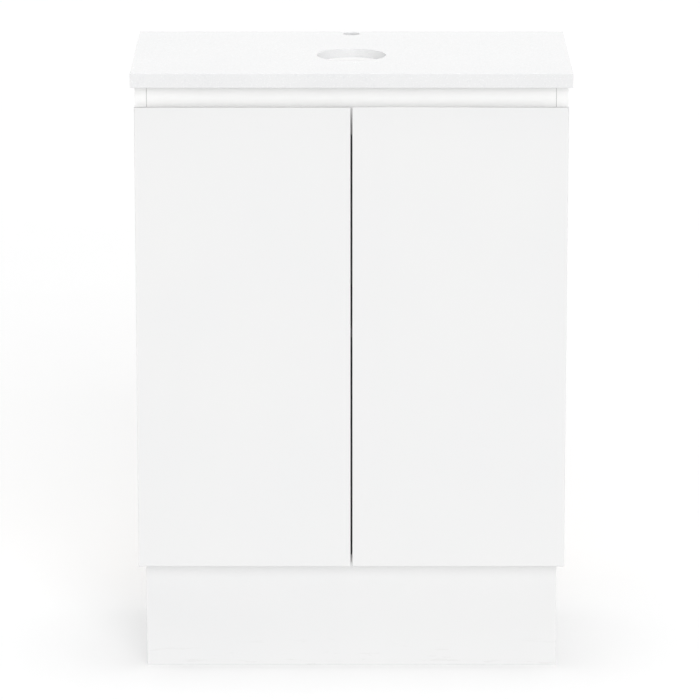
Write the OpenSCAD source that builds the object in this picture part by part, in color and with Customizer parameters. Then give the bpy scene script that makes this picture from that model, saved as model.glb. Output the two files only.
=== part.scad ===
// Two-door bathroom vanity cabinet with a laminated stone benchtop, ready for a
// countertop basin. Origin on the floor under the middle of the benchtop, +Z up,
// the doors face -Y.

/* [Benchtop] */
// Width of the benchtop
top_w = 600; // [560:10:900]
// Depth of the benchtop, front to wall
top_d = 330; // [320:5:460]
// Height of the benchtop's upper face above the floor
top_h = 850; // [800:5:900]
// Thickness of the stone sheet
stone_t = 12; // [10:1:20]
// Height of the build-up strip glued under the stone's edge
strip_t = 8; // [6:1:16]
// Diameter of the basin waste hole
waste_d = 95; // [60:1:110]
// Distance from the benchtop's front edge to the waste hole's centre
waste_y = 143; // [120:1:170]
// Diameter of the tap hole
tap_d = 23; // [20:1:35]
// Distance from the benchtop's rear edge to the tap hole's centre
tap_back = 20; // [18:1:40]

/* [Carcass] */
// Thickness of the carcass boards
board_t = 16; // [16:1:18]
// How far the benchtop overhangs each side of the carcass
side_overhang = 5; // [2:1:15]
// Height of the front rail under the benchtop
rail_h = 70; // [60:5:90]
// Height of the shelf's underside above the floor
shelf_z = 470; // [420:10:520]

/* [Doors] */
// Thickness of the door panels
door_t = 18; // [18:1:19]
// How far the benchtop's front edge stands proud of the doors
door_setback = 8; // [4:1:12]
// Gap between the two doors
door_gap = 2.5; // [2:0.5:4]
// Finger gap between the benchtop and the doors' top edges
finger_gap = 28; // [24:1:36]
// Thickness left at the doors' upper front edges, where the finger pull starts
pull_lip = 4; // [3:1:8]
// How far the finger pull slopes down to the doors' rear faces
pull_drop = 22; // [12:1:30]
// How far the doors' lower edges stand above the plinth's top
door_lift = 4; // [2:1:10]

/* [Plinth] */
// Height of the plinth
plinth_h = 150; // [120:5:180]
// Distance from the benchtop's front edge to the plinth's face
plinth_setback = 46; // [40:1:60]
// Distance from the carcass side to the plinth's side
plinth_inset = 9; // [5:1:20]

/* [Hidden] */

$fn = 64;
eps = 0.5;                                   // cutters run this far past a face

// Heights
carcass_h1 = top_h - stone_t - strip_t;      // top of the carcass
door_z0 = plinth_h + door_lift;
door_z1 = carcass_h1 - finger_gap;
bottom_mid_z = plinth_h + board_t / 2;

// Depths, from the benchtop's front edge at -Y to its rear edge at +Y
y_front = -top_d / 2;
y_back = top_d / 2;
door_y0 = y_front + door_setback;            // front face of the doors
door_y1 = door_y0 + door_t;                  // rear face of the doors
door_space = 2;                              // from the doors to the gables' front edges
carcass_y0 = door_y1 + door_space;
rail_mid_y = carcass_y0 + board_t / 2;
rear_y0 = y_back - board_t;
rear_mid_y = rear_y0 + board_t / 2;
plinth_y0 = y_front + plinth_setback;
skirting_space = 20;                         // left behind the plinth
plinth_y1 = y_back - skirting_space;

// Widths
body_w = top_w - 2 * side_overhang;
inner_w = body_w - 2 * board_t;
strip_w = door_setback + door_t + door_space;  // the front strip reaches the gables
plinth_w = body_w - 2 * plinth_inset;
leaf_w = (body_w - door_gap) / 2;

// Rear rails
rear_top_h = 100;
rear_bottom_h = 100;
notch_w = 60;                                // clearance notch for the tap's tail
notch_h = 45;
notch_r = 10;
back_t = 3;                                  // the thin back panel inside the rails
back_lap = 30;                               // its lap over the top rail
wall_hole_d = 5;
wall_hole_pitch = 400;
wall_hole_z = carcass_h1 - 60;

// Knock-down joints: 8 mm dowels and 15 mm cams, as [y, z, cam mouth] at each end
dowel_d = 8;
dowel_in_gable = 11;
dowel_in_panel = 20;
bolt_d = 6;
bolt_in_gable = 10;
cam_d = 15;
cam_depth = 12.5;
cam_from_end = 34;
bolt_short = 2;                              // a bolt stops this far before its cam's centre
bolt_play = 0.2;                             // round the bolt, inside the cam
cam_cross = [7, 1.4, 5];                     // length, width and depth of a cam's driver slots
dowel_rise = 28;                             // from a rear rail's free edge to its dowel
cam_rise = 76;                               // from the bottom panel to the lower rail's cam
cams = [
    [carcass_y0 + 87, bottom_mid_z, "down"], [y_back - 85, bottom_mid_z, "down"],
    [rail_mid_y, carcass_h1 - 22, "rear"],
    [rear_mid_y, carcass_h1 - 60, "front"], [rear_mid_y, plinth_h + board_t + cam_rise, "front"]
];
dowels = [
    [carcass_y0 + 47, bottom_mid_z], [carcass_y0 + 152, bottom_mid_z], [y_back - 45, bottom_mid_z],
    [rail_mid_y, carcass_h1 - 48],
    [rear_mid_y, carcass_h1 - dowel_rise], [rear_mid_y, plinth_h + board_t + dowel_rise]
];

// Shelf
shelf_play = 1;                              // at each end, between the shelf and the gable
shelf_y0 = carcass_y0 + 27;
shelf_y1 = rear_y0 - back_t - 6;

// Shelf supports: a short row of 5 mm holes at the front and the rear
pin_d = 5;
pin_collar = 1;                              // the collar is this much wider all round
pin_in_gable = 9;
pin_reach = 8;
pin_pitch = 32;
pin_z = shelf_z - pin_d / 2;
pin_from_edge = 30;
pin_ys = [shelf_y0 + pin_from_edge, shelf_y1 - pin_from_edge];

// Plinth blocks
block_w = 30;
block_h = 60;
screw_d = 4;
screw_l = 45;
screw_head_d = 8;
screw_head_h = 2.5;

// Door buffers
buffer_h = 1.6;
buffer_r = 4;
buffer_tip_r = 2.6;
buffer_x = 20;                               // from the middle of the cabinet
buffer_z = plinth_h + 10;

// Concealed hinges. x runs from the gable's inner face into the cabinet, y from the
// gable's front edge to the rear. The link turns on arm_pivot; the cup turns on cup_pivot.
hinge_zs = [door_z0 + 95, door_z1 - 110];    // the upper one clears the finger pull
arm_pivot = [17, 14];
cup_pivot = [-5, -5];
link_knee = [2, -10];
link_w = 3.2;
link_h = 12;
arm_eye_r = 3.4;
cup_eye_r = 2.8;
pin_r = 1.5;
pin_play = 0.05;
pin_half = 10;
cup_d = 35;
cup_depth = 12;
cup_x = 22 - board_t;                        // the bore's centre is 22 mm from the door's edge
cup_wall = 0.5;
pocket_x0 = -9.4;
pocket_x1 = 21;
pocket_half = 6.5;
pocket_depth = 10.5;
flange_t = 1;
flange_x0 = -10.5;
flange_x1 = 26;
flange_half = 15;
ear_x = 12;
ear_z = 24;
ear_r = 6.5;
cup_screw_r = 1.75;
cup_screw_l = 12;
cup_head_r = 3.4;
cup_head_h = 1.4;
plate_y = 37;                                // the 37 mm line of cabinet fittings
plate_hole_z = 16;
plate_t = 3;
plate_y0 = 20;
plate_y1 = 60;
plate_half = 10;
wing_r = 6;                                  // half the width of the plate's two wings
guide_inset = 2;                             // from the plate's ends to its guide
guide_play = 0.2;                            // between the guide and the arm's cheeks
guide_x1 = 14;                               // top of the plate's guide
plate_screw_r = 2.5;
plate_screw_l = 12;
plate_head_r = 4;
plate_head_h = 2;
arm_x0 = 9;
arm_x1 = 21.2;
arm_y1 = 62;
arm_web_y0 = 18;
arm_skin = 1.5;
arm_half = 8.5;
arm_nose_r = 4.2;
guide_half = arm_half - arm_skin - guide_play;
arm_screw_r = 2;
arm_head_r = 3.8;
arm_head_h = 1.8;
arm_screw_x0 = 6;
arm_screw_ys = [28, 50];
cup_pin_play = 0.2;                          // past the ends of the cup's pin
driver_cross = [2.4, 4.2, 0.9];              // depth, length and width of a screw's driver slots

// ---- helpers -------------------------------------------------------------------

// A board given by its two far corners
module board(low, high) {
    translate(low)
        cube(high - low);
}

// Draws its children at the left side, or mirrored at the right side
module on_side(right) {
    mirror([right ? 1 : 0, 0, 0])
        children();
}

// Draws its children at both sides
module both_sides() {
    children();
    mirror([1, 0, 0])
        children();
}

// Hinge space: origin on the left gable's inner front edge, at each hinge's height
module at_hinges(right) {
    on_side(right)
        for (z = hinge_zs)
            translate([-inner_w / 2, carcass_y0, z])
                children();
}

// A rod along X from x0 to x1
module rod_x(x0, x1, y, z, r) {
    translate([x0, y, z])
        rotate([0, 90, 0])
            cylinder(h = x1 - x0, r = r);
}

// A rod along Y from y0 to y1
module rod_y(x, y0, y1, z, r) {
    translate([x, y1, z])
        rotate([90, 0, 0])
            cylinder(h = y1 - y0, r = r);
}

// A flat bar of width w between two points, in plan
module bar(p, q, w) {
    d = q - p;
    translate(p)
        rotate(atan2(d[1], d[0]))
            translate([0, -w / 2])
                square([norm(d), w]);
}

// One cam's disc space at the left end of a panel
module cam_space(place) {
    x = -inner_w / 2 + cam_from_end;
    if (place[2] == "down")
        translate([x, place[0], place[1] - board_t / 2])
            cylinder(h = cam_depth, d = cam_d);
    if (place[2] == "rear")
        rod_y(x, place[0] + board_t / 2 - cam_depth, place[0] + board_t / 2, place[1], cam_d / 2);
    if (place[2] == "front")
        rod_y(x, place[0] - board_t / 2, place[0] - board_t / 2 + cam_depth, place[1], cam_d / 2);
}

module cam_bolt(place, r) {
    rod_x(-inner_w / 2 - bolt_in_gable, -inner_w / 2 + cam_from_end, place[0], place[1], r);
}

module dowel(place) {
    rod_x(-inner_w / 2 - dowel_in_gable, -inner_w / 2 + dowel_in_panel,
        place[0], place[1], dowel_d / 2);
}

// Everything that the knock-down fittings bore out of the boards
module fitting_bores() {
    both_sides() {
        for (place = cams) {
            cam_space(place);
            cam_bolt(place, bolt_d / 2);
        }
        for (place = dowels)
            dowel(place);
    }
}

// A countersunk screw, its head's face at the origin, pointing down
module countersunk_screw() {
    rotate([180, 0, 0]) {
        cylinder(h = screw_head_h, d1 = screw_head_d, d2 = screw_d);
        cylinder(h = screw_l, d = screw_d);
    }
}

module plinth_screw_set() {
    both_sides()
        for (y = [plinth_y0 + board_t + block_w / 2, plinth_y1 - board_t - block_w / 2])
            translate([-plinth_w / 2 + board_t + block_w / 2, y, plinth_h + board_t])
                countersunk_screw();
}

// ---- benchtop ------------------------------------------------------------------

module stone_top() {
    color("whitesmoke")
        difference() {
            board([-top_w / 2, y_front, top_h - stone_t], [top_w / 2, y_back, top_h]);
            translate([0, y_front + waste_y, top_h - stone_t - eps])
                cylinder(h = stone_t + 2 * eps, d = waste_d, $fn = 128);
            translate([0, y_back - tap_back, top_h - stone_t - eps])
                cylinder(h = stone_t + 2 * eps, d = tap_d);
        }
}

module edge_strip_front() {
    color("whitesmoke")
        board([-top_w / 2, y_front, carcass_h1],
            [top_w / 2, y_front + strip_w, carcass_h1 + strip_t]);
}

module side_strip() {
    color("whitesmoke")
        board([-top_w / 2, y_front + strip_w, carcass_h1],
            [-top_w / 2 + strip_w, y_back, carcass_h1 + strip_t]);
}

module edge_strip_left() {
    side_strip();
}

module edge_strip_right() {
    on_side(true)
        side_strip();
}

module top_substrate() {
    color("white")
        board([-top_w / 2 + strip_w, y_front + strip_w, carcass_h1],
            [top_w / 2 - strip_w, y_back, carcass_h1 + strip_t]);
}

// ---- carcass -------------------------------------------------------------------

module gable() {
    color("white")
        difference() {
            board([-body_w / 2, carcass_y0, plinth_h], [-inner_w / 2, y_back, carcass_h1]);
            fitting_bores();
            for (y = pin_ys, n = [-1, 0, 1])
                rod_x(-inner_w / 2 - pin_in_gable, -inner_w / 2 + eps,
                    y, pin_z + n * pin_pitch, pin_d / 2);
            at_hinges(false)
                for (side = [-1, 1])
                    rod_x(-plate_screw_l, eps, plate_y, side * plate_hole_z, plate_screw_r);
        }
}

module gable_left() {
    gable();
}

module gable_right() {
    on_side(true)
        gable();
}

module bottom_panel() {
    color("white")
        difference() {
            board([-inner_w / 2, carcass_y0, plinth_h], [inner_w / 2, y_back, plinth_h + board_t]);
            fitting_bores();
            plinth_screw_set();
        }
}

module front_rail() {
    color("white")
        difference() {
            board([-inner_w / 2, carcass_y0, carcass_h1 - rail_h],
                [inner_w / 2, carcass_y0 + board_t, carcass_h1]);
            fitting_bores();
        }
}

module rear_rail_top() {
    color("white")
        difference() {
            board([-inner_w / 2, rear_y0, carcass_h1 - rear_top_h], [inner_w / 2, y_back, carcass_h1]);
            fitting_bores();
            board([-notch_w / 2, rear_y0 - eps, carcass_h1 - notch_h + notch_r],
                [notch_w / 2, y_back + eps, carcass_h1 + eps]);
            board([-notch_w / 2 + notch_r, rear_y0 - eps, carcass_h1 - notch_h],
                [notch_w / 2 - notch_r, y_back + eps, carcass_h1 + eps]);
            for (side = [-1, 1]) {
                rod_y(side * (notch_w / 2 - notch_r), rear_y0 - eps, y_back + eps,
                    carcass_h1 - notch_h + notch_r, notch_r);
                rod_y(side * wall_hole_pitch / 2, rear_y0 - eps, y_back + eps,
                    wall_hole_z, wall_hole_d / 2);
            }
        }
}

module rear_rail_bottom() {
    color("white")
        difference() {
            board([-inner_w / 2, rear_y0, plinth_h + board_t],
                [inner_w / 2, y_back, plinth_h + board_t + rear_bottom_h]);
            fitting_bores();
        }
}

// A thin panel against the rails' inner faces, left uncut for the fitter's pipes
module back_panel() {
    color("white")
        board([-inner_w / 2, rear_y0 - back_t, plinth_h + board_t],
            [inner_w / 2, rear_y0, carcass_h1 - rear_top_h + back_lap]);
}

module shelf() {
    color("white")
        board([-inner_w / 2 + shelf_play, shelf_y0, shelf_z],
            [inner_w / 2 - shelf_play, shelf_y1, shelf_z + board_t]);
}

module shelf_pins() {
    color("silver")
        both_sides()
            for (y = pin_ys) {
                rod_x(-inner_w / 2 - pin_in_gable, -inner_w / 2 + pin_reach, y, pin_z, pin_d / 2);
                rod_x(-inner_w / 2, -inner_w / 2 + shelf_play, y, pin_z, pin_d / 2 + pin_collar);
            }
}

module carcass_dowels() {
    color("burlywood")
        both_sides()
            for (place = dowels)
                dowel(place);
}

module cam_bolts() {
    color("silver")
        both_sides()
            for (place = cams)
                rod_x(-inner_w / 2 - bolt_in_gable, -inner_w / 2 + cam_from_end - bolt_short,
                    place[0], place[1], bolt_d / 2);
}

// Each cam is a disc with a slot for the bolt and a cross recess in its mouth
module cam_locks() {
    color("gray")
        both_sides()
            for (place = cams)
                difference() {
                    cam_space(place);
                    cam_bolt(place, bolt_d / 2 + bolt_play);
                    cam_recess(place);
                }
}

module cam_recess(place) {
    x = -inner_w / 2 + cam_from_end;
    mouth = place[2] == "down" ? [0, 0, -board_t / 2]
        : [0, place[2] == "rear" ? board_t / 2 : -board_t / 2, 0];
    translate([x, place[0], place[1]] + mouth)
        for (s = [cam_cross, [cam_cross[1], cam_cross[0], cam_cross[2]]])
            cube(place[2] == "down" ? s : [s[0], s[2], s[1]], center = true);
}

// ---- plinth --------------------------------------------------------------------

module plinth_front() {
    color("white")
        board([-plinth_w / 2, plinth_y0, 0], [plinth_w / 2, plinth_y0 + board_t, plinth_h]);
}

module plinth_rear() {
    color("white")
        board([-plinth_w / 2, plinth_y1 - board_t, 0], [plinth_w / 2, plinth_y1, plinth_h]);
}

module plinth_side() {
    color("white")
        board([-plinth_w / 2, plinth_y0 + board_t, 0],
            [-plinth_w / 2 + board_t, plinth_y1 - board_t, plinth_h]);
}

module plinth_left() {
    plinth_side();
}

module plinth_right() {
    on_side(true)
        plinth_side();
}

module plinth_blocks() {
    color("burlywood")
        difference() {
            both_sides()
                for (y = [plinth_y0 + board_t, plinth_y1 - board_t - block_w])
                    translate([-plinth_w / 2 + board_t, y, plinth_h - block_h])
                        cube([block_w, block_w, block_h]);
            plinth_screw_set();
        }
}

module plinth_screws() {
    color("silver")
        plinth_screw_set();
}

// ---- hinges --------------------------------------------------------------------

// A cruciform mounting plate with a guide rail for the arm
module hinge_plates(right) {
    color("silver")
        at_hinges(right)
            difference() {
                union() {
                    board([0, plate_y0, -plate_half], [plate_t, plate_y1, plate_half]);
                    board([0, plate_y - wing_r, -plate_hole_z],
                        [plate_t, plate_y + wing_r, plate_hole_z]);
                    for (side = [-1, 1])
                        rod_x(0, plate_t, plate_y, side * plate_hole_z, wing_r);
                    board([0, plate_y0 + guide_inset, -guide_half],
                        [guide_x1, plate_y1 - guide_inset, guide_half]);
                }
                for (side = [-1, 1])
                    rod_x(-eps, plate_t + eps, plate_y, side * plate_hole_z, plate_screw_r);
                for (y = arm_screw_ys)
                    rod_x(arm_screw_x0, guide_x1 + eps, y, 0, arm_screw_r);
            }
}

module plate_screws(right) {
    color("gainsboro")
        at_hinges(right)
            for (side = [-1, 1])
                difference() {
                    union() {
                        rod_x(-plate_screw_l, plate_t, plate_y, side * plate_hole_z, plate_screw_r);
                        rod_x(plate_t, plate_t + plate_head_h, plate_y, side * plate_hole_z,
                            plate_head_r);
                    }
                    translate([plate_t + plate_head_h, plate_y, side * plate_hole_z])
                        cross_recess();
                }
}

// A cross recess for a driver, sunk along -X from the origin
module cross_recess() {
    cube(driver_cross, center = true);
    rotate([90, 0, 0])
        cube(driver_cross, center = true);
}

// A channel open towards the gable, whose cheeks carry the link's pin
module hinge_arms(right) {
    color("silver")
        at_hinges(right)
            difference() {
                union() {
                    for (side = [-1, 1])
                        translate([0, 0, side * (arm_half - arm_skin / 2) - arm_skin / 2])
                            linear_extrude(height = arm_skin) {
                                translate([arm_x0, arm_pivot[1]])
                                    square([arm_x1 - arm_x0, arm_y1 - arm_pivot[1]]);
                                translate(arm_pivot)
                                    circle(r = arm_nose_r);
                            }
                    board([arm_x1 - arm_skin, arm_web_y0, -arm_half], [arm_x1, arm_y1, arm_half]);
                }
                translate([arm_pivot[0], arm_pivot[1], -arm_half - eps])
                    cylinder(h = 2 * (arm_half + eps), r = pin_r + pin_play);
                for (y = arm_screw_ys)
                    rod_x(guide_x1, arm_x1 + eps, y, 0, arm_screw_r);
            }
}

module arm_screws(right) {
    color("gainsboro")
        at_hinges(right)
            for (y = arm_screw_ys)
                difference() {
                    union() {
                        rod_x(arm_screw_x0, arm_x1, y, 0, arm_screw_r);
                        rod_x(arm_x1, arm_x1 + arm_head_h, y, 0, arm_head_r);
                    }
                    translate([arm_x1 + arm_head_h, y, 0])
                        cross_recess();
                }
}

// The gooseneck that carries the cup round the gable's front edge
module hinge_links(right) {
    color("silver")
        at_hinges(right)
            translate([0, 0, -link_h / 2])
                linear_extrude(height = link_h)
                    difference() {
                        union() {
                            bar(arm_pivot, link_knee, link_w);
                            bar(link_knee, cup_pivot, link_w);
                            translate(link_knee)
                                circle(d = link_w);
                            translate(arm_pivot)
                                circle(r = arm_eye_r);
                            translate(cup_pivot)
                                circle(r = cup_eye_r);
                        }
                        for (p = [arm_pivot, cup_pivot])
                            translate(p)
                                circle(r = pin_r);
                    }
}

module hinge_pins(right) {
    color("gainsboro")
        at_hinges(right)
            for (p = [arm_pivot, cup_pivot])
                translate([p[0], p[1], -pin_half])
                    cylinder(h = 2 * pin_half, r = pin_r);
}

// Outline of the cup's flange, drawn in X and Z
module flange_outline() {
    translate([flange_x0, -flange_half])
        square([flange_x1 - flange_x0, 2 * flange_half]);
    translate([ear_x - ear_r, -ear_z])
        square([2 * ear_r, 2 * ear_z]);
    for (side = [-1, 1])
        translate([ear_x, side * ear_z])
            circle(r = ear_r);
}

module hinge_cups(right) {
    color("silver")
        at_hinges(right)
            difference() {
                union() {
                    rod_y(cup_x, -door_space - cup_depth + cup_wall, -door_space, 0, cup_d / 2);
                    translate([0, -door_space + flange_t, 0])
                        rotate([90, 0, 0])
                            linear_extrude(height = flange_t)
                                flange_outline();
                }
                board([pocket_x0, -door_space - pocket_depth, -pocket_half],
                    [pocket_x1, 0, pocket_half]);
                translate([cup_pivot[0], cup_pivot[1], -pin_half - cup_pin_play])
                    cylinder(h = 2 * (pin_half + cup_pin_play), r = pin_r + pin_play);
                for (side = [-1, 1])
                    rod_y(ear_x, -door_space - eps, 0, side * ear_z, cup_screw_r);
            }
}

module cup_screws(right) {
    color("gainsboro")
        at_hinges(right)
            for (side = [-1, 1])
                difference() {
                    union() {
                        rod_y(ear_x, -door_space - cup_screw_l, -door_space + flange_t,
                            side * ear_z, cup_screw_r);
                        rod_y(ear_x, -door_space + flange_t, -door_space + flange_t + cup_head_h,
                            side * ear_z, cup_head_r);
                    }
                    translate([ear_x, -door_space + flange_t + cup_head_h, side * ear_z])
                        rotate([0, 0, 90])
                            cross_recess();
                }
}

// ---- doors ---------------------------------------------------------------------

// Side profile: the top edge slopes down to the rear as a finger pull
module door_profile() {
    polygon([[door_y0, door_z0], [door_y1, door_z0], [door_y1, door_z1 - pull_drop],
        [door_y0 + pull_lip, door_z1], [door_y0, door_z1]]);
}

module door_panel(right) {
    color("white")
        difference() {
            on_side(right)
                translate([-body_w / 2, 0, 0])
                    rotate([90, 0, 90])
                        linear_extrude(height = leaf_w)
                            door_profile();
            at_hinges(right) {
                rod_y(cup_x, -door_space - cup_depth, -door_space + eps, 0, cup_d / 2);
                for (side = [-1, 1])
                    rod_y(ear_x, -door_space - cup_screw_l, -door_space + eps,
                        side * ear_z, cup_screw_r);
            }
        }
}

module door_buffer(right) {
    color("lightgray")
        on_side(right)
            translate([-buffer_x, door_y1, buffer_z])
                rotate([-90, 0, 0])
                    cylinder(h = buffer_h, r1 = buffer_r, r2 = buffer_tip_r);
}

// ---- nodes ---------------------------------------------------------------------

stone_top();
edge_strip_front();
edge_strip_left();
edge_strip_right();
top_substrate();
gable_left();
gable_right();
bottom_panel();
front_rail();
rear_rail_top();
rear_rail_bottom();
back_panel();
shelf();
shelf_pins();
carcass_dowels();
cam_bolts();
cam_locks();
plinth_front();
plinth_left();
plinth_right();
plinth_rear();
plinth_blocks();
plinth_screws();
hinge_plates(false);  // hinge_plates_left
hinge_plates(true);  // hinge_plates_right
plate_screws(false);  // plate_screws_left
plate_screws(true);  // plate_screws_right
hinge_arms(false);  // hinge_arms_left
hinge_arms(true);  // hinge_arms_right
arm_screws(false);  // arm_screws_left
arm_screws(true);  // arm_screws_right
hinge_links(false);  // hinge_links_left
hinge_links(true);  // hinge_links_right
hinge_pins(false);  // hinge_pins_left
hinge_pins(true);  // hinge_pins_right
door_panel(false);  // door_panel_left
door_panel(true);  // door_panel_right
hinge_cups(false);  // hinge_cups_left
hinge_cups(true);  // hinge_cups_right
cup_screws(false);  // cup_screws_left
cup_screws(true);  // cup_screws_right
door_buffer(false);  // door_buffer_left
door_buffer(true);  // door_buffer_right
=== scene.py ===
# %% [markdown]
# # A white vanity cabinet, finished in Blender
#
# The cabinet comes from a CAD program as forty or so separate pieces: boards, a stone
# benchtop, doors, and every hinge, cam and screw. They are the right size and in the right
# place, but they have razor edges and no finish. This lesson keeps each piece where it is,
# gives it the small rounded edges that a real workshop leaves, and builds each finish from
# procedural nodes. Everything is in metres, with the floor at Z 0 and the doors facing -Y.

# %% Load the cabinet
import math

import bmesh
import bpy
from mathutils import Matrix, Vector


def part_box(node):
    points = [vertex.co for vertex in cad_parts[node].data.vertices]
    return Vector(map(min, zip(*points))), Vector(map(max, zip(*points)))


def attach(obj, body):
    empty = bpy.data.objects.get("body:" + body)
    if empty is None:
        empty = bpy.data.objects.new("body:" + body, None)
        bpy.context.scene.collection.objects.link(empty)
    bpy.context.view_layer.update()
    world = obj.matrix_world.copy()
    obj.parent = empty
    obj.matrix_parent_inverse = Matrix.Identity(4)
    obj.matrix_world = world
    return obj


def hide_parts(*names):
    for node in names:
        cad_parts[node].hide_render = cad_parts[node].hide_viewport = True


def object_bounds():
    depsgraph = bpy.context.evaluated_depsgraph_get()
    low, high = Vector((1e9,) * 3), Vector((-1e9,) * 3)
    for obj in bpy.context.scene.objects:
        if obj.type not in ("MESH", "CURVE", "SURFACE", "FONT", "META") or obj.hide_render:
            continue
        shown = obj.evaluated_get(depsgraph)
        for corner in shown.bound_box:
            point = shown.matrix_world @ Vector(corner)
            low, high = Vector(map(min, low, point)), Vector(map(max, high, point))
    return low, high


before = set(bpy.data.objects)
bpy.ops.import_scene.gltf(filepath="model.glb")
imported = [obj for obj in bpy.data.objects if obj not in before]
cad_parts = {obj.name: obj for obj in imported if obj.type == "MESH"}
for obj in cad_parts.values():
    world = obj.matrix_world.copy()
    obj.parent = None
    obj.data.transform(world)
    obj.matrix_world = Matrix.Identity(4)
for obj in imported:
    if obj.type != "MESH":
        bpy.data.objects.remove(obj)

cad_low, cad_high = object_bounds()
width, depth, height = cad_high - cad_low
print("cabinet", [round(v, 3) for v in (width, depth, height)], "m;", len(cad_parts), "nodes")

# %% [markdown]
# ## The camera
#
# A cabinet this plain is drawn by its edges, so the camera decides most of the picture. A
# long lens, a few metres back and a little above the benchtop, keeps the sides almost
# upright and still shows the holes in the stone. A short lens close by would show more of
# the top, but it would squeeze the plinth. The camera looks straight ahead and is tipped
# down, with no lens shift, so that any other view can borrow it.

# %% Place the camera
camera_back = 6.5         # from the benchtop's front edge
camera_height = 2.045
camera_aside = -0.0020     # a hair to the left of the gap between the doors
camera_tilt = math.radians(13.66)
camera_lens = 251.0       # on Blender's 36 mm sensor

camera = bpy.data.objects.new("camera", bpy.data.cameras.new("camera"))
bpy.context.scene.collection.objects.link(camera)
camera.data.lens = camera_lens
camera.data.sensor_width = 36.0
camera.location = (camera_aside, cad_low.y - camera_back, camera_height)
camera.rotation_euler = (math.pi / 2 - camera_tilt, 0.0, 0.0)
camera.data.clip_start, camera.data.clip_end = 0.05, 100.0
bpy.context.scene.camera = camera
print("camera", tuple(round(v, 3) for v in camera.location), "lens", camera.data.lens)

# %% [markdown]
# ## Light for white on white
#
# A white object on a pale floor has no colour contrast at all, so its shape shows only
# through soft shading: the shadow under the benchtop, the shade at the top of the plinth,
# and the thin dark line between the doors. A product studio would use a white room, with
# bright walls all round and a dimmer ceiling. Both could be built as large glowing planes,
# but then some view would show their edges, so they are painted on the sky, as levels of
# light that change softly with height.
#
# The light that comes up from below needs care. A white floor right in front of the plinth
# would wash out the shade under the doors, and the cabinet's own shadow on it would dim
# the plinth's foot instead. So the floor made below sends no light on, and the sky under
# the horizon stands in for a wide grey sweep that lights the cabinet evenly all round.

# %% The walls of the white room
ceiling_light, wall_light, sweep_light = 0.49, 1.24, 0.56
ceiling_edge, wall_top, wall_foot, sweep_edge = 26.0, 11.0, -6.0, -30.0    # degrees of elevation

world = bpy.data.worlds.new("studio")
bpy.context.scene.world = world
world.use_nodes = True
room = world.node_tree
direction = room.nodes.new("ShaderNodeTexCoord")
height_of = room.nodes.new("ShaderNodeSeparateXYZ")
room.links.new(direction.outputs["Generated"], height_of.inputs[0])

def level(low, high, light_below, light_above):
    """Light that changes softly from one level to the next between two elevations."""
    step = room.nodes.new("ShaderNodeMapRange")
    step.interpolation_type = "SMOOTHSTEP"
    room.links.new(height_of.outputs["Z"], step.inputs["Value"])
    for socket, value in (("From Min", math.sin(math.radians(low))),
                          ("From Max", math.sin(math.radians(high))),
                          ("To Min", light_below), ("To Max", light_above)):
        step.inputs[socket].default_value = value
    return step.outputs[0]

room_light = room.nodes.new("ShaderNodeMath")
room_light.operation = "ADD"
room.links.new(level(wall_top, ceiling_edge, wall_light, ceiling_light), room_light.inputs[0])
room.links.new(level(sweep_edge, wall_foot, sweep_light - wall_light, 0.0), room_light.inputs[1])
room.links.new(room_light.outputs[0], room.nodes["Background"].inputs["Strength"])
room.nodes["Background"].inputs["Color"].default_value = (1.0, 1.0, 1.0, 1.0)
print("ceiling", ceiling_light, "walls", wall_light, "sweep", sweep_light)

# %% [markdown]
# ## Two softboxes
#
# One big softbox stands low in front and reaches in under the benchtop, and one hangs
# overhead and keeps the floor white. Area lamps would light the near floor more than the
# far floor. Sun lamps light all of it evenly, and a wide sun disc gives the same soft
# shadow as a big softbox.

# %% Softboxes
def softbox(name, azimuth, elevation, light, spread):
    """A very large soft light. Azimuth 0 is in front of the doors and +90 to the right;
    light 1 turns a white surface that faces it fully white; spread is its size in degrees."""
    lamp = bpy.data.lights.new(name, "SUN")
    lamp.energy, lamp.angle = math.pi * light, math.radians(spread)
    box = bpy.data.objects.new(name, lamp)
    bpy.context.scene.collection.objects.link(box)
    around, up = math.radians(azimuth), math.radians(elevation)
    towards = Vector((math.sin(around) * math.cos(up), -math.cos(around) * math.cos(up),
                      math.sin(up)))
    box.rotation_euler = towards.to_track_quat("Z", "Y").to_euler()

softbox("front_softbox", azimuth=10.0, elevation=20.0, light=0.306, spread=32.0)
softbox("top_softbox", azimuth=0.0, elevation=89.0, light=0.371, spread=44.0)
bpy.context.scene.view_settings.view_transform = "Standard"
bpy.context.scene.view_settings.look = "None"

# %% [markdown]
# ## Shader maths in plain Python
#
# A node tree is only arithmetic on sockets. Wiring it by hand takes a line for each node
# and hides the idea, so this class wraps one socket and lets Python's own operators add the
# Math nodes: `1 - mask * 0.2` reads as what it does. Each operator has its reflected form,
# so the number can stand on either side. Colours are never sent through a Math node, which
# would turn them grey. They go through Mix.

# %% A socket that does sums
class Wire:
    """One output socket of a finish's node tree."""

    def __init__(self, finish, socket):
        self.finish, self.socket = finish, socket

    def math(self, operation, *values):
        return self.finish.node("ShaderNodeMath", {"operation": operation},
                                dict(enumerate(values)))

    def __add__(self, other): return self.math("ADD", self, other)
    def __radd__(self, other): return self.math("ADD", other, self)
    def __sub__(self, other): return self.math("SUBTRACT", self, other)
    def __rsub__(self, other): return self.math("SUBTRACT", other, self)
    def __mul__(self, other): return self.math("MULTIPLY", self, other)
    def __rmul__(self, other): return self.math("MULTIPLY", other, self)
    def __gt__(self, other): return self.math("GREATER_THAN", self, other)
    def __lt__(self, other): return self.math("LESS_THAN", self, other)
    def __abs__(self): return self.math("ABSOLUTE", self)
    def sine(self): return self.math("SINE", self)

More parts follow.
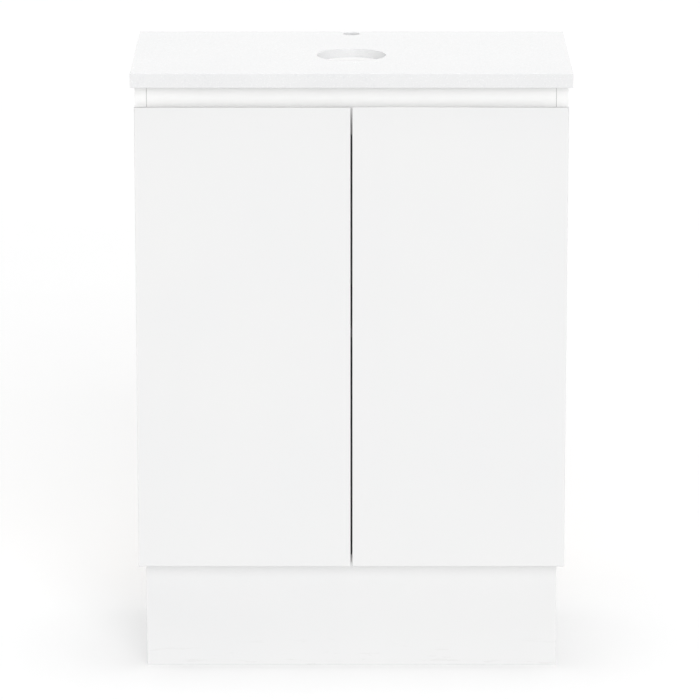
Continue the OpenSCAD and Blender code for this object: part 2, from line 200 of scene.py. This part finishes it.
# %% [markdown]
# ## A finish
#
# A finish is one material: a Principled shader, plus the nodes that vary it. Values that
# are the same all over are set on the shader's own sockets. What changes over a surface is
# fed in by name. All patterns are placed by object coordinates, which are the cabinet's own
# metres, so a grain of 1 mm is 1 mm on every board and rides along when a door swings.

# %% The Finish class
MIX_COLOUR_INPUTS, MIX_COLOUR_OUTPUT = (0, 6, 7), 2    # a Mix node keeps a set for each data type

class Finish:
    """A Principled material whose nodes are added with node() and fed in with feed()."""

    def __init__(self, name, color, **constants):
        self.material = bpy.data.materials.new(name)
        self.material.use_nodes = True
        self.tree = self.material.node_tree
        self.shader = self.tree.nodes["Principled BSDF"]
        self.shader.inputs["Base Color"].default_value = (*color, 1.0)
        for socket, value in constants.items():
            self.shader.inputs[socket.replace("_", " ")].default_value = value

    def node(self, kind, settings=None, inputs=None, out=0):
        """Adds any node: settings are its properties or a ramp's stops, inputs its sockets."""
        made = self.tree.nodes.new(kind)
        for key, value in (settings or {}).items():
            if key == "stops":
                ramp = made.color_ramp
                while len(ramp.elements) < len(value):
                    ramp.elements.new(0.5)
                for element, (place, color) in zip(ramp.elements, value):
                    element.position, element.color = place, (*color, 1.0)
            else:
                setattr(made, key, value)
        for key, value in (inputs or {}).items():
            self.put(made.inputs[key], value)
        return Wire(self, made.outputs[out])

    def put(self, socket, value):
        if isinstance(value, Wire):
            self.tree.links.new(value.socket, socket)
        else:
            socket.default_value = value

    def feed(self, socket, value):
        self.put(self.shader.inputs[socket], value)

    def place(self, stretch=(1.0, 1.0, 1.0)):
        """Object coordinates in metres, stretched along each axis."""
        spot = self.node("ShaderNodeTexCoord", out="Object")
        return self.node("ShaderNodeVectorMath", {"operation": "MULTIPLY"}, {0: spot, 1: stretch})

    def along(self, axis):
        """One object coordinate: axis is X, Y or Z."""
        return self.node("ShaderNodeSeparateXYZ", inputs={0: self.place()}, out=axis)

    def facing(self, axis):
        """One component of the surface's own normal."""
        normal = self.node("ShaderNodeTexCoord", out="Normal")
        return self.node("ShaderNodeSeparateXYZ", inputs={0: normal}, out=axis)

    def noise(self, size, detail=3.0, roughness=0.55, stretch=(1.0, 1.0, 1.0)):
        """Noise from 0 to 1 whose lumps are about size metres across."""
        return self.node("ShaderNodeTexNoise", inputs={
            "Vector": self.place(stretch), "Scale": 1.0 / size, "Detail": detail,
            "Roughness": roughness})

    def grains(self, size):
        """A random number from 0 to 1 for each grain of about size metres."""
        cells = self.node("ShaderNodeTexVoronoi",
                          inputs={"Vector": self.place(), "Scale": 1.0 / size}, out="Color")
        return self.node("ShaderNodeSeparateColor", inputs={0: cells})

    def ramp(self, value, *stops):
        """A smooth change of colour: stops are (place, color)."""
        return self.node("ShaderNodeValToRGB", {"stops": stops}, {0: value})

    def mix(self, factor, below, above):
        """Goes from one colour to the other as factor goes from 0 to 1."""
        below, above = [(*c, 1.0) if isinstance(c, tuple) else c for c in (below, above)]
        return self.node("ShaderNodeMix", {"data_type": "RGBA"},
                         dict(zip(MIX_COLOUR_INPUTS, (factor, below, above))),
                         out=MIX_COLOUR_OUTPUT)

    def bump(self, relief, depth, under=None):
        """Turns relief (0 to 1) into a normal for a surface that is depth metres rough."""
        inputs = {"Height": relief, "Distance": depth}
        if under is not None:
            inputs["Normal"] = under
        return self.node("ShaderNodeBump", inputs=inputs)

def grey(value):
    return (value, value, value)

print("a Wire sums sockets and a Finish holds one material")

# %% [markdown]
# ## Engineered stone
#
# The benchtop is crushed quartz in white resin. Close up it is never one white: grains of
# about a millimetre are a touch cooler or darker than the resin, and a few clear ones look
# grey. From across the room they merge into a very even, slightly cool white. Two sizes of
# Voronoi cells give the grains, and broad noise gives the faint clouding of the cast slab.
# The faces are polished, so roughness stays low, with grains a little glossier than resin.

# %% Stone finish
stone = Finish("engineered_stone", (0.766, 0.769, 0.773), IOR=1.53, Coat_Roughness=0.08)
fine = stone.grains(0.0011)
coarse = stone.grains(0.0034)
cloud = stone.noise(0.16, detail=2.0)
resin = stone.ramp(cloud, (0.3, (0.752, 0.755, 0.760)), (0.7, (0.780, 0.782, 0.785)))
speckled = stone.mix((fine < 0.16) * 0.16, resin, (0.66, 0.67, 0.70))
flecked = stone.mix((coarse > 0.965) * 0.12, speckled, (0.60, 0.61, 0.63))
lit = stone.mix((fine > 0.93) * 0.35, flecked, (0.91, 0.915, 0.92))
stone.feed("Base Color", lit)
stone.feed("Roughness", 0.17 + fine * 0.07 + cloud * 0.05)
stone.feed("Coat Weight", 0.15 + cloud * 0.15)
stone.feed("Normal", stone.bump(stone.noise(0.004, detail=4.0), 0.000012))
print(stone.material.name, len(stone.tree.nodes), "nodes")

# %% [markdown]
# ## Satin lacquer
#
# The doors are fibreboard with a sprayed satin lacquer. What gives sprayed paint away is
# orange peel: a very shallow ripple a few millimetres across that only shows in the way
# reflections break up. A second, broader ripple keeps large faces from being mirror flat.
# Hands leave the finish slightly glossier in patches, so roughness drifts with soft noise.

# %% Lacquer finish
lacquer = Finish("satin_lacquer", (0.79, 0.79, 0.79), IOR=1.47, Coat_Roughness=0.25)
drift = lacquer.noise(0.22, detail=2.0)
peel = lacquer.noise(0.0032, detail=2.0, roughness=0.4)
sweep = lacquer.noise(0.05, detail=1.0)
handled = lacquer.noise(0.09, detail=4.0, roughness=0.7)
lacquer.feed("Base Color", lacquer.ramp(drift, (0.25, (0.784, 0.786, 0.788)),
                                        (0.75, (0.798, 0.798, 0.795))))
lacquer.feed("Roughness", 0.30 + handled * 0.12)
lacquer.feed("Coat Weight", 0.10 + handled * 0.10)
broad = lacquer.bump(sweep, 0.00006)
lacquer.feed("Normal", lacquer.bump(peel, 0.000022, under=broad))
print(lacquer.material.name, len(lacquer.tree.nodes), "nodes")

# %% [markdown]
# ## Melamine board and its cut edges
#
# Carcass boards are particle board between two skins of white melamine paper. The skins
# have a fine pearl texture. The front edge is closed with a 1 mm tape, whose glue line is
# a hair-thin darker line just behind the edge. The rear edge stands against the wall, so
# nobody pays to tape it, and the pressed chips show between the skins. All three can be
# masks on one material, placed by the board's own faces, which a texture image could not
# do without unwrapping every board. Faces and edges are told apart by the normal, and the
# skins by the distance to the board's two faces. Where a board butts against a gable, the
# hairline gap of the joint lies in shade. The boards here meet with no gap, so that shade
# is painted: the last half millimetre of the board's ends is darkened.

# %% Melamine finish
tape_thickness = 0.001
glue_half = 0.00014        # half of the glue line's width
skin_thickness = 0.0004
raw_depth = 0.0006         # how far in from the rear face the chips show
# width of the painted shade line at each butt joint
joint_shade_width = 0.0005
faces_squarely = 0.9       # a normal this close to an axis looks along it

def chipboard(finish):
    """The look of pressed wood chips on a cut edge."""
    chips = finish.noise(0.0022, detail=5.0, roughness=0.75, stretch=(1.0, 1.0, 0.6))
    flakes = finish.grains(0.0018)
    tan = finish.ramp(chips, (0.25, (0.30, 0.19, 0.10)), (0.5, (0.50, 0.36, 0.22)),
                      (0.8, (0.66, 0.52, 0.35)))
    return finish.mix((flakes < 0.12) * 0.5, tan, (0.22, 0.14, 0.08))

def melamine(name, node, skins, front_tape=True, raw_rear=True, butt_ends=False):
    """White board; skins is the axis its two faces look along.

    butt_ends paints shade on the board's ends where they meet the gables: a fine dark line that stands for
    the hairline gap of the joint."""
    low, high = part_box(node)
    board = Finish(name, (0.92, 0.92, 0.915), IOR=1.48)
    pearl = board.noise(0.0009, detail=2.0)
    tone = board.noise(0.30, detail=2.0)
    color = board.ramp(tone, (0.3, (0.912, 0.913, 0.908)), (0.7, (0.928, 0.928, 0.922)))
    rough = 0.38 + pearl * 0.10
    if front_tape:
        behind = board.along("Y") - (low.y + tape_thickness)
        glue = abs(behind) < glue_half
        color = board.mix(glue * 0.35, color, (0.45, 0.43, 0.40))
    if raw_rear:
        axis = "XYZ".index(skins)
        centre = (low[axis] + high[axis]) / 2
        half = (high[axis] - low[axis]) / 2 - skin_thickness
        core = (abs(board.along(skins) - centre) < half) * (board.facing("Y") > faces_squarely)
        at_rear = board.along("Y") > high.y - raw_depth
        color = board.mix(core * at_rear, color, chipboard(board))
        rough = rough + core * 0.35
    # Painted shade: the last half millimetre of the board's ends is darkened, where the hairline gap of the
    # joint would lie in shade.
    if butt_ends:
        from_middle = abs(board.along("X") - (low.x + high.x) / 2)
        joint_shade = from_middle > (high.x - low.x) / 2 - joint_shade_width
        color = board.mix(joint_shade * 0.8, color, (0.16, 0.155, 0.15))
    board.feed("Base Color", color)
    board.feed("Roughness", rough)
    board.feed("Normal", board.bump(pearl, 0.00003))
    return board.material

print("tape", tape_thickness * 1000, "mm, skins", skin_thickness * 1000, "mm")

# %% [markdown]
# ## Plinth board
#
# The plinth is the same white board, but it lives at toe height next to a wet floor. It
# gets a slightly duller face, and faint scuffs close to the floor that fade out upwards.
# The scuffs are stretched sideways, the way a mop leaves them, and stay very light.

# %% Plinth finish
plinth = Finish("plinth_board", (0.80, 0.80, 0.80), IOR=1.47)
low_down = plinth.along("Z")
scuff_height = 0.05
fade = plinth.node("ShaderNodeMapRange", {"clamp": True}, {
    "Value": low_down, "From Min": 0.0, "From Max": scuff_height, "To Min": 1.0, "To Max": 0.0})
mop = plinth.noise(0.02, detail=5.0, roughness=0.7, stretch=(0.25, 1.0, 2.0))
plinth_tone = plinth.ramp(plinth.noise(0.25, detail=2.0), (0.3, (0.792, 0.794, 0.796)),
                          (0.7, (0.808, 0.809, 0.808)))
scuffed = plinth.mix(fade * (mop > 0.60) * 0.16, plinth_tone, (0.55, 0.54, 0.52))
plinth.feed("Base Color", scuffed)
plinth.feed("Roughness", 0.36 + mop * 0.10 + fade * 0.08)
plinth.feed("Normal", plinth.bump(plinth.noise(0.0012, detail=2.0), 0.00003))
print(plinth.material.name, len(plinth.tree.nodes), "nodes")

# %% [markdown]
# ## Raw timber
#
# Dowels and plinth blocks are bare wood. Grain is long along one axis and fine across it,
# which is a stretched noise, and growth rings add slow bands. The axis is the only thing
# that differs between the blocks and the dowels, so it is the function's argument.

# %% Timber finish
def timber(name, grain_axis, light, dark):
    """Bare wood whose grain runs along grain_axis."""
    stretch = [1.0, 1.0, 1.0]
    stretch["XYZ".index(grain_axis)] = 0.06
    wood = Finish(name, light, IOR=1.45)
    fibres = wood.noise(0.0012, detail=6.0, roughness=0.65, stretch=tuple(stretch))
    rings = wood.noise(0.012, detail=2.0, stretch=tuple(stretch))
    banded = wood.ramp(rings * 0.6 + fibres * 0.4, (0.35, dark), (0.62, light))
    wood.feed("Base Color", banded)
    wood.feed("Roughness", 0.62 + fibres * 0.2)
    wood.feed("Normal", wood.bump(fibres, 0.00012))
    return wood.material

pine = timber("pine_block", "Z", (0.70, 0.52, 0.32), (0.50, 0.32, 0.16))
beech = timber("beech_dowel", "X", (0.68, 0.48, 0.31), (0.52, 0.33, 0.20))
print(pine.name, "and", beech.name)

# %% [markdown]
# ## Plated and cast metal
#
# Hinges are pressed from strip and nickel plated, screws are bright zinc, and cams are
# die-cast. The three differ in tint, in how sharp the reflections are, and in relief:
# pressing leaves fine draw lines, plating leaves soft blotches, casting leaves a fine pebble.

# %% Metal finishes
def metal(name, tint, shine, pebble, draw=(1.0, 1.0, 1.0), relief=0.00001):
    """shine is the base roughness; pebble is the relief's size in metres."""
    made = Finish(name, tint, Metallic=1.0)
    blotch = made.noise(0.012, detail=3.0)
    lines = made.noise(pebble, detail=3.0, roughness=0.6, stretch=draw)
    shade = tuple(c * 0.82 for c in tint)
    made.feed("Base Color", made.ramp(blotch, (0.3, shade), (0.65, tint)))
    made.feed("Roughness", shine + blotch * 0.10 + lines * 0.10)
    made.feed("Normal", made.bump(lines, relief))
    return made.material

nickel = metal("nickel_plated", (0.76, 0.735, 0.70), 0.20, 0.0006, draw=(1.0, 0.1, 1.0))
bright_zinc = metal("bright_zinc", (0.74, 0.76, 0.79), 0.18, 0.0005)
cast_zinc = metal("cast_zinc", (0.56, 0.57, 0.58), 0.40, 0.0007, relief=0.00004)
print(nickel.name, bright_zinc.name, cast_zinc.name)

# %% [markdown]
# ## Soft plastic and the board under the stone
#
# Door buffers are clear soft plastic, which looks milky when it is only a millimetre
# thick, so a little subsurface scatter does the job better than glass. The board under the
# stone is plain white-faced board: it is seen as a white disc at the bottom of the holes.

# %% Buffer and substrate finishes
buffer_plastic = Finish("soft_buffer", (0.80, 0.81, 0.82), IOR=1.49, Subsurface_Weight=0.3,
                        Subsurface_Scale=0.002)
haze = buffer_plastic.noise(0.002, detail=2.0)
buffer_plastic.feed("Roughness", 0.22 + haze * 0.14)
buffer_plastic.feed("Base Color", buffer_plastic.ramp(haze, (0.3, (0.78, 0.79, 0.80)),
                                                      (0.7, (0.84, 0.85, 0.86))))
buffer_plastic.feed("Normal", buffer_plastic.bump(haze, 0.00002))
substrate = melamine("substrate_board", "top_substrate", "Z", front_tape=False)
print(buffer_plastic.material.name, substrate.name)

# %% [markdown]
# ## Taking the razor edge off
#
# No real edge is sharp. The stone has a sanded arris, lacquered doors are rounded so that
# the paint holds, and even a cut board has a fraction of a millimetre. Those tiny rounds
# catch the light and are what makes a white box look solid. A Bevel modifier could round
# every edge of a CAD mesh, but it would shrink to fit the smallest screw hole. So each
# piece is copied, its doubled vertices are welded, its flat faces are merged, and only
# edges that are sharp and long enough are marked for the bevel.

# %% The finishing helper
weld_distance = 2e-6
flat_angle, sharp_angle = math.radians(0.4), math.radians(28)

def finished(node, material, body, arris, shortest=0.01, segments=3, keep_flush=None):
    """A copy of a CAD node with rounded edges and a finish, which stands for the node.

    arris is the rounding's width, and edges under shortest stay sharp. keep_flush is a test
    on an edge's middle point: edges that pass it stay as they are, because a neighbour
    continues the surface there. Returns the number of rounded edges."""
    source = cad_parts[node]
    mesh = source.data.copy()
    mesh.name = node + "_mesh"
    work = bmesh.new()
    work.from_mesh(mesh)
    bmesh.ops.remove_doubles(work, verts=work.verts, dist=weld_distance)
    bmesh.ops.dissolve_limit(work, angle_limit=flat_angle, verts=work.verts,
                             edges=work.edges, delimit=set())
    weight = work.edges.layers.float.new("bevel_weight_edge")
    marked = 0
    for edge in work.edges:
        sharp = edge.is_manifold and edge.calc_face_angle() > sharp_angle
        edge.smooth = not sharp
        middle = (edge.verts[0].co + edge.verts[1].co) / 2
        flush = keep_flush is not None and keep_flush(middle)
        if sharp and not flush and edge.calc_length() >= shortest:
            edge[weight] = 1.0
            marked += 1
    for face in work.faces:
        face.smooth = True
    work.to_mesh(mesh)
    work.free()
    mesh.materials.clear()
    mesh.materials.append(material)
    piece = bpy.data.objects.new(node + "_finished", mesh)
    bpy.context.scene.collection.objects.link(piece)
    bevel = piece.modifiers.new("arris", "BEVEL")
    bevel.width, bevel.segments = arris, segments
    bevel.limit_method, bevel.offset_type = "WEIGHT", "OFFSET"
    bevel.harden_normals = True
    bevel.miter_outer = "MITER_ARC"
    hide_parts(node)
    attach(piece, body)
    return marked

print("welds", weld_distance * 1e6, "micrometres; sharp above", round(math.degrees(sharp_angle)), "degrees")

# %% [markdown]
# ## The stone benchtop
#
# The benchtop is a 12 mm sheet with 8 mm strips glued under three edges, so that its front
# looks 20 mm thick. The upper edges and the rims of both holes are sanded to a soft arris
# of about a millimetre, and so is the lower edge of the strips. Sheet and strip are polished
# as one face, so the edges where they meet get no bevel at all: the test below leaves out
# every edge at the height of the glue line. Rounding the joined shape would be simpler, but
# then the strips would no longer be pieces of their own.

# %% Benchtop
glue_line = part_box("edge_strip_front")[1].z
same_height = 0.0005

def at_glue_line(middle):
    return abs(middle.z - glue_line) < same_height

for node, arris in (("stone_top", 0.0007), ("edge_strip_front", 0.0005),
                    ("edge_strip_left", 0.0005), ("edge_strip_right", 0.0005)):
    marked = finished(node, stone.material, "cabinet", arris, shortest=0.0004,
                      keep_flush=at_glue_line)
    print(node, marked, "edges rounded")
finished("top_substrate", substrate, "cabinet", 0.0003, shortest=0.004)

# %% [markdown]
# ## The carcass
#
# Two gables, a bottom, two rear rails, a front rail flush with the gables, and a shelf.
# Each board gets its own melamine, because the tape and the raw rear edge are placed by the
# board's own box. The rails stand upright, so their skins face front and back, and the
# edge at the rear face is then a skin and never raw.

# %% Carcass boards
boards = {"gable_left": "X", "gable_right": "X", "bottom_panel": "Z", "shelf": "Z"}
for node, skins in boards.items():
    material = melamine("melamine_" + node, node, skins, butt_ends=node == "bottom_panel")
    print(node, finished(node, material, "cabinet", 0.0004), "edges rounded")
for node in ("front_rail", "rear_rail_top", "rear_rail_bottom"):
    material = melamine("melamine_" + node, node, "Y", front_tape=False, raw_rear=False,
                        butt_ends=True)
    print(node, finished(node, material, "cabinet", 0.0004), "edges rounded")

# %% [markdown]
# ## The back panel
#
# A 3 mm hardboard sheet closes the back. It is white only on the side that faces into the
# cabinet; the wall side is the bare brown sheet, smooth but faintly mottled from the press,
# with a fine screen pattern pressed into it. One material does both sides, by the normal.

# %% Back panel
hardboard = Finish("back_board", (0.86, 0.86, 0.855), IOR=1.47)
pressed = hardboard.noise(0.006, detail=5.0, roughness=0.7)
felt = hardboard.noise(0.0011, detail=3.0, roughness=0.6)
bare = hardboard.ramp(pressed * 0.65 + felt * 0.35, (0.32, (0.27, 0.165, 0.085)),
                      (0.52, (0.40, 0.265, 0.15)), (0.72, (0.50, 0.35, 0.215)))
painted = hardboard.ramp(hardboard.noise(0.3, detail=2.0), (0.3, (0.852, 0.853, 0.848)),
                         (0.7, (0.868, 0.868, 0.862)))
wall_side = hardboard.facing("Y") > -0.5
hardboard.feed("Base Color", hardboard.mix(wall_side, painted, bare))
hardboard.feed("Roughness", 0.36 + wall_side * 0.28 + felt * 0.1)
screen_pitch = 0.0016
weave_x, weave_z = [(hardboard.along(axis) * (2 * math.pi / screen_pitch)).sine() for axis in "XZ"]
screen = weave_x * weave_z * wall_side
hardboard.feed("Normal", hardboard.bump(screen * 0.3 + felt * 0.4, 0.00006))
marked = finished("back_panel", hardboard.material, "cabinet", 0.0003, segments=2)
print("back_panel", marked, "edges rounded;", len(hardboard.tree.nodes), "nodes")

# %% [markdown]
# ## The plinth
#
# Four boards make a box that stands back from the doors for the toes. Blocks in its corners
# take the screws that come down through the cabinet's bottom.

# %% Plinth boards and blocks
for node in ("plinth_front", "plinth_left", "plinth_right", "plinth_rear"):
    print(node, finished(node, plinth.material, "cabinet", 0.0004), "edges rounded")
print("plinth_blocks", finished("plinth_blocks", pine, "cabinet", 0.0006),
      "edges rounded")

# %% [markdown]
# ## The doors
#
# A door is one slab with a sloping upper edge that the fingers pull. Its edges are rounded
# more than a board's, to 1.2 mm, because lacquer pulls away from a sharp edge. That round
# is what draws the bright line down each side of the dark gap between the doors.

# %% Door leaves
for side in ("left", "right"):
    marked = finished("door_panel_" + side, lacquer.material, "door_" + side,
                      0.0012, shortest=0.008, segments=4)
    print("door_panel_" + side, marked, "edges rounded")

# %% [markdown]
# ## Hinges
#
# The pressed parts of a hinge have edges rounded by the press, so they get about a third
# of a millimetre, and screws a little less. Each piece rides on the body that carries it:
# arm and plate on the cabinet, the gooseneck and its pins on the links, the cup and the
# buffer on the door. Both sides have the same parts, so one loop finishes them.

# %% Hinges
for side in ("left", "right"):
    door, links = "door_" + side, "links_" + side
    for node, body, arris in (("hinge_plates_", "cabinet", 0.0004),
                              ("hinge_arms_", "cabinet", 0.0003),
                              ("hinge_links_", links, 0.0004),
                              ("hinge_cups_", door, 0.00025)):
        finished(node + side, nickel, body, arris, shortest=0.0012, segments=2)
    for node, body in (("plate_screws_", "cabinet"), ("arm_screws_", "cabinet"),
                       ("cup_screws_", door), ("hinge_pins_", links)):
        finished(node + side, bright_zinc, body, 0.0002, shortest=0.0002, segments=2)
    finished("door_buffer_" + side, buffer_plastic.material, door,
             0.0003, shortest=0.0002)
print("hinges, their screws and the buffers are finished")

# %% [markdown]
# ## Fittings in the boards
#
# Cams, shelf pins and plinth screws show at the boards' faces, so their rims are rounded
# like the hinges' parts. Dowels and cam bolts are sealed inside the boards. A carried-over
# node can simply be given a finish in its own material slot, and these two are.

# %% Fittings
for node, material, slot, arris, shortest in (
        ("cam_locks", cast_zinc, "cast_zinc", 0.00025, 0.001),
        ("shelf_pins", bright_zinc, "zinc_steel", 0.0003, 0.0002),
        ("plinth_screws", bright_zinc, "zinc_steel", 0.0002, 0.0002)):
    finished(node, material, "cabinet", arris, shortest, segments=2)
for node, material in (("carcass_dowels", beech), ("cam_bolts", bright_zinc)):
    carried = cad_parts[node].data
    carried.materials.clear()
    carried.materials.append(material)

# %% [markdown]
# ## The floor
#
# A plain pale floor, large enough that no view sees its edge. It is not part of the
# cabinet. Its finish is a matt off-white with the faintest
# mottling, so that the contact shadow under the plinth reads and nothing else does. It
# takes light and shadow as usual, but it neither sends light on to the cabinet nor keeps
# the sweep's light from it. That needs two of its visibility switches turned off.

# %% Floor
floor_half = 30.0
floor_finish = Finish("studio_floor", grey(0.985), Specular_IOR_Level=0.1)
mottle = floor_finish.noise(0.6, detail=3.0)
floor_finish.feed("Base Color", floor_finish.ramp(mottle, (0.3, grey(0.98)), (0.7, grey(0.99))))
floor_finish.feed("Roughness", 0.75 + mottle * 0.1)

floor_mesh = bpy.data.meshes.new("floor")
work = bmesh.new()
bmesh.ops.create_grid(work, x_segments=8, y_segments=8, size=floor_half)
work.to_mesh(floor_mesh)
work.free()
floor_mesh.materials.append(floor_finish.material)
floor = bpy.data.objects.new("floor", floor_mesh)
bpy.context.scene.collection.objects.link(floor)
floor.visible_diffuse = floor.visible_shadow = False
print("floor", 2 * floor_half, "m square")
